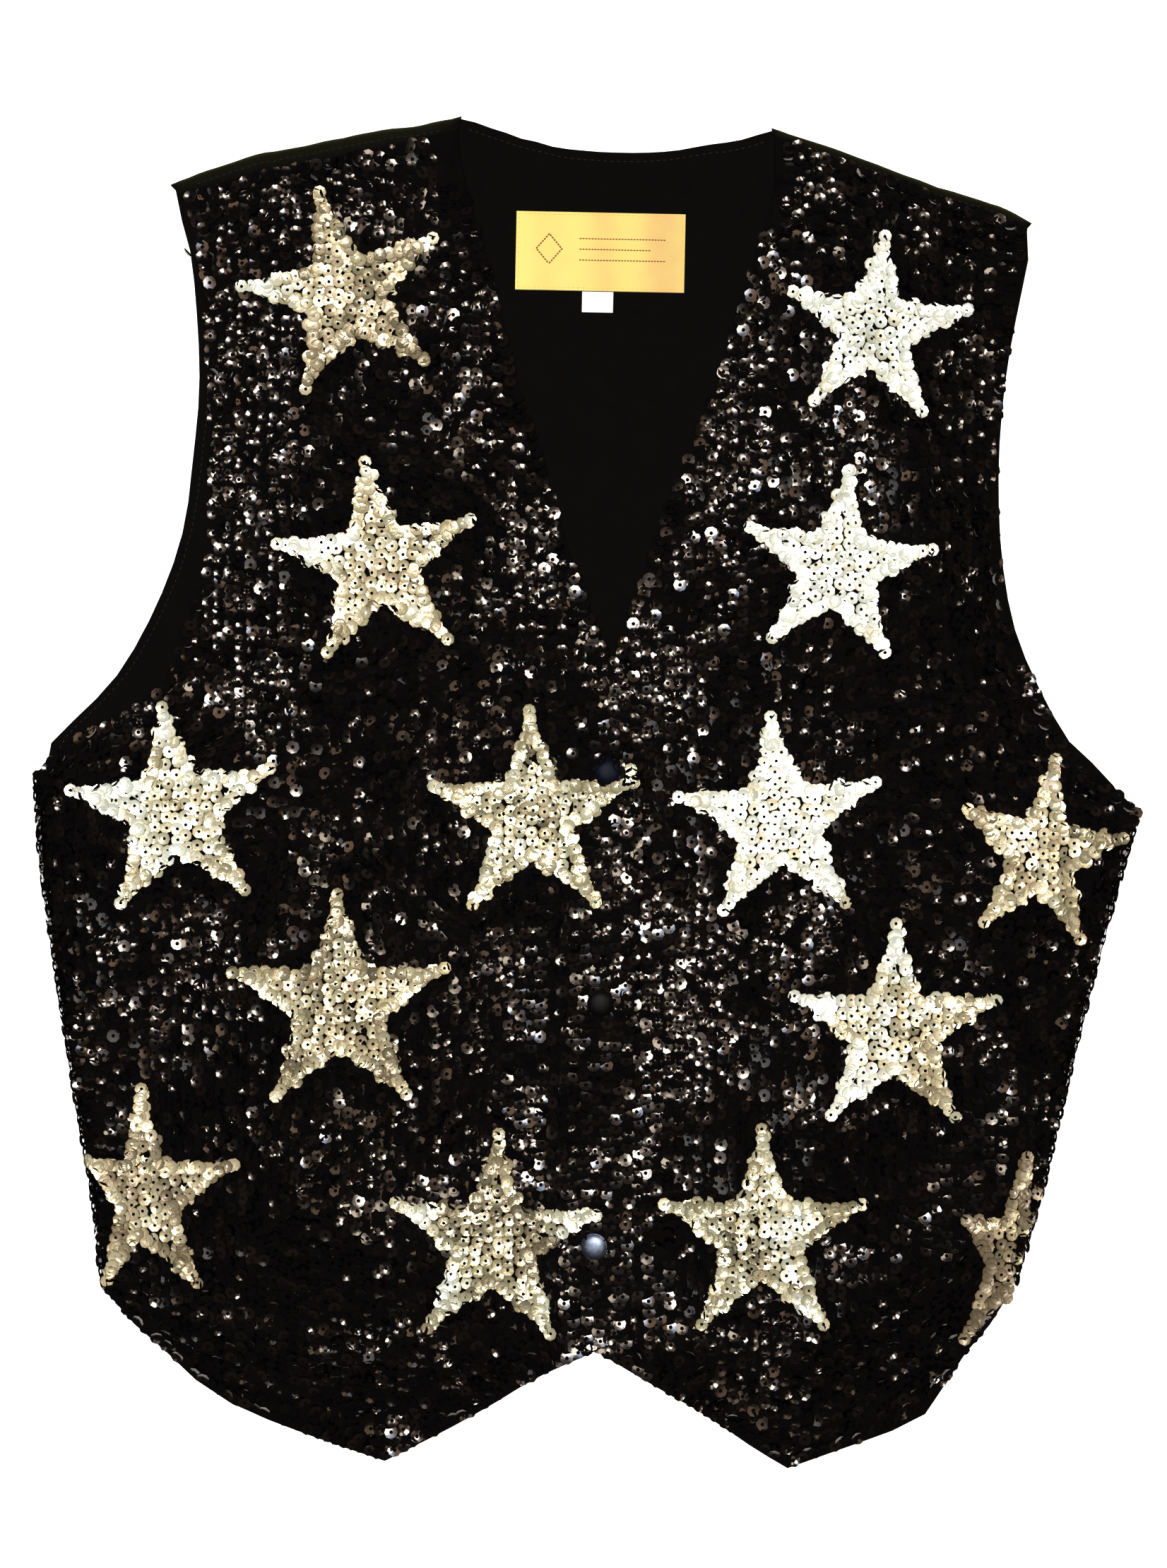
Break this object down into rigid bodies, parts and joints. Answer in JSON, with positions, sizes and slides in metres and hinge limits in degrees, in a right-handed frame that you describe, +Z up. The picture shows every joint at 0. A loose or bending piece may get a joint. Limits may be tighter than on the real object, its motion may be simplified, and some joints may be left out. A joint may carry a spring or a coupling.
{
  "type": "sequin waistcoat",
  "caption": "Sleeveless V-neck waistcoat laid flat, with sequined fronts in a star pattern, a plain cloth back, a neck label and snap fasteners.",
  "frame": {"origin": "middle of the waistcoat's outline, on the surface it lies on", "axes": "+Z up from the surface, through the back to the fronts; +Y towards the shoulders; +X towards the wearer's left side"},
  "size_m": [0.516, 0.6328, 0.0088],
  "materials": {
    "back_cloth": "matt plain-woven black cloth",
    "sequin_cloth": "black and silver cup sequins sewn on black cloth",
    "woven_label": "satin-woven gold",
    "white_tape": "matt woven tape",
    "snap_metal": "polished gunmetal"
  },
  "bodies": {
    "root": {"back": "back_cloth", "front_right": "sequin_cloth", "front_left": "sequin_cloth", "label": "woven_label", "size_tab": "white_tape", "snap_cap_top": "snap_metal", "snap_cap_middle": "snap_metal", "snap_cap_bottom": "snap_metal"}
  },
  "joints": []
}
